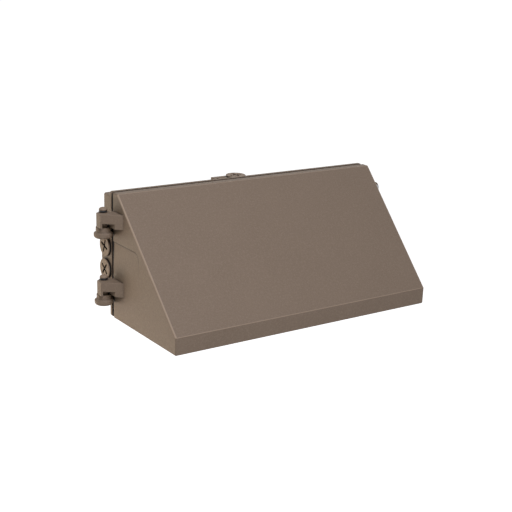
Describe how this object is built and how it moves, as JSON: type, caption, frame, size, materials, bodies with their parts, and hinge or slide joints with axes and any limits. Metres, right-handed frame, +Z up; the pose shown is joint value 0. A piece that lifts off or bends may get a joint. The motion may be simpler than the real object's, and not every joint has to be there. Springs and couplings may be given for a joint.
{
  "type": "wall pack light",
  "caption": "Wedge-shaped outdoor wall light with a side-hinged door, downward lens, boards and driver, on a shallow rear housing with plugged conduit entries.",
  "frame": {"origin": "centre of the rear housing's back face, which lies on the wall", "axes": "+Y out of the back face into the wall, so the light's front faces -Y; +X to the right seen from the front; +Z up"},
  "size_m": [0.3973, 0.166, 0.1491],
  "materials": {
    "bronze_casting": "fine textured bronze powder coat",
    "bronze_fittings": "fine textured bronze powder coat",
    "black_rubber": "matt closed-cell silicone",
    "black_nylon": "moulded nylon",
    "zinc_steel": "zinc plated",
    "green_steel": "green passivated",
    "white_moulding": "matt moulded",
    "brass_clamps": "plain brass",
    "driver_case": "brushed folded aluminium",
    "driver_cover": "plain white",
    "clear_glass": "clear tempered glass",
    "white_reflector": "gloss white",
    "plain_aluminium": "rolled sheet",
    "white_board": "white solder mask",
    "yellow_emitter": "silicone over phosphor",
    "clear_optic": "clear moulded"
  },
  "bodies": {
    "housing": {"rear_housing": "bronze_casting", "door_seal": "black_rubber", "wall_seal": "black_rubber", "upper_hinge_pin": "bronze_fittings", "lower_hinge_pin": "bronze_fittings", "left_upper_conduit_plug": "bronze_fittings", "left_lower_conduit_plug": "bronze_fittings", "right_upper_conduit_plug": "bronze_fittings", "right_lower_conduit_plug": "bronze_fittings", "top_conduit_plug": "bronze_fittings", "small_top_plug": "bronze_fittings", "plug_seals": "black_rubber", "upper_hinge_bush": "black_nylon", "lower_hinge_bush": "black_nylon", "ground_screw": "green_steel", "terminal_block": "white_moulding", "terminal_clamp_screws": "brass_clamps", "terminal_block_screws": "zinc_steel", "led_driver": "driver_case", "led_driver_cover": "driver_cover", "led_driver_screws": "zinc_steel"},
    "door": {"door_shell": "bronze_casting", "lens_seal": "black_rubber", "lens_glass": "clear_glass", "lens_frame": "zinc_steel", "lens_frame_screws": "zinc_steel", "reflector": "white_reflector", "led_plate": "plain_aluminium", "led_plate_screws": "zinc_steel", "left_led_board": "white_board", "right_led_board": "white_board", "left_leds": "yellow_emitter", "right_leds": "yellow_emitter", "left_optic": "clear_optic", "right_optic": "clear_optic", "led_board_screws": "zinc_steel"},
    "upper_screw": {"upper_closing_screw": "zinc_steel", "upper_screw_ring": "zinc_steel"},
    "lower_screw": {"lower_closing_screw": "zinc_steel", "lower_screw_ring": "zinc_steel"}
  },
  "joints": [
    {"name": "door_hinge", "type": "hinge", "parent": "housing", "child": "door", "pos_m": [-0.1916, -0.0286, 0], "axis": [0, 0, -1], "range_deg": [0, 105]},
    {"name": "upper_screw_travel", "type": "slide", "parent": "door", "child": "upper_screw", "axis": [0, -1, 0], "range_m": [0, 0.007]},
    {"name": "lower_screw_travel", "type": "slide", "parent": "door", "child": "lower_screw", "axis": [0, -1, 0], "range_m": [0, 0.007]}
  ]
}
